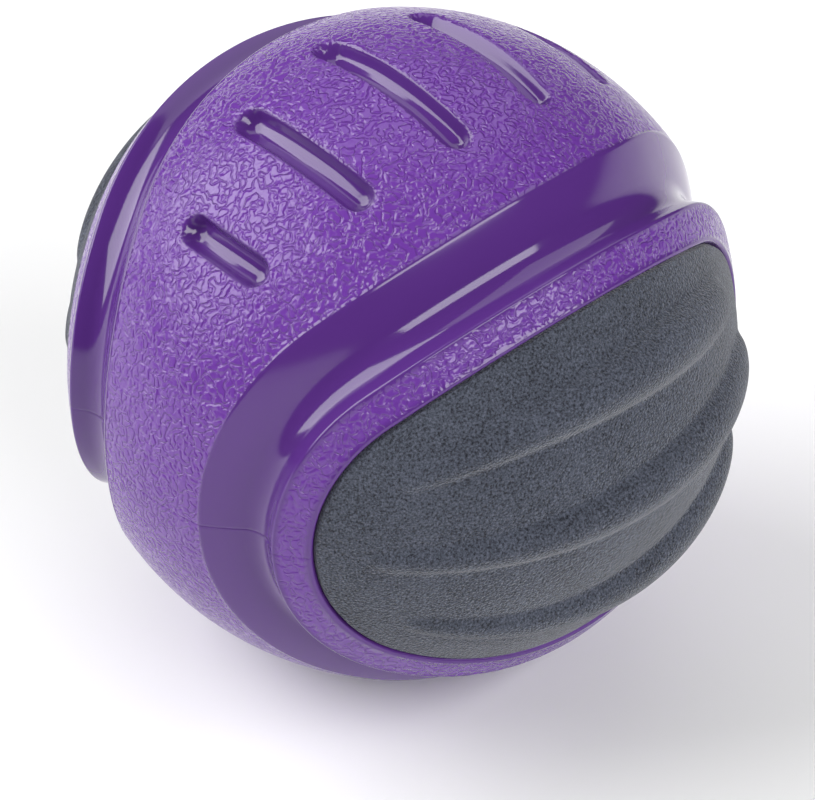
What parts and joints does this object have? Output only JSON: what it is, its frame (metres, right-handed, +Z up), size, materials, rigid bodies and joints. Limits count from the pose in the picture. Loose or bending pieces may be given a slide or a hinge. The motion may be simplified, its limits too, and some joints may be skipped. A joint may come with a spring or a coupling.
{
  "type": "two-material play ball",
  "caption": "Round rubber play ball with a textured band, slotted crown, smooth grooves and ribbed foam pads bulging through oval side windows.",
  "frame": {"origin": "centre of the ball", "axes": "+Z up through the middle slot of the upper row, -Y out of the front pad, X along the long axis of the oval windows; the shell's seam lies in the XY plane"},
  "size_m": [0.08, 0.084, 0.08],
  "materials": {
    "shell_rubber": "moulded rubber, pebble grained on the band and rims, glossy in the grooves and slots",
    "pad_foam": "matt closed-cell foam rubber with a fine speckled skin",
    "core_foam": "matt closed-cell foam rubber"
  },
  "bodies": {
    "root": {"upper_shell": "shell_rubber", "lower_shell": "shell_rubber", "front_pad": "pad_foam", "rear_pad": "pad_foam", "foam_core": "core_foam"}
  },
  "joints": []
}
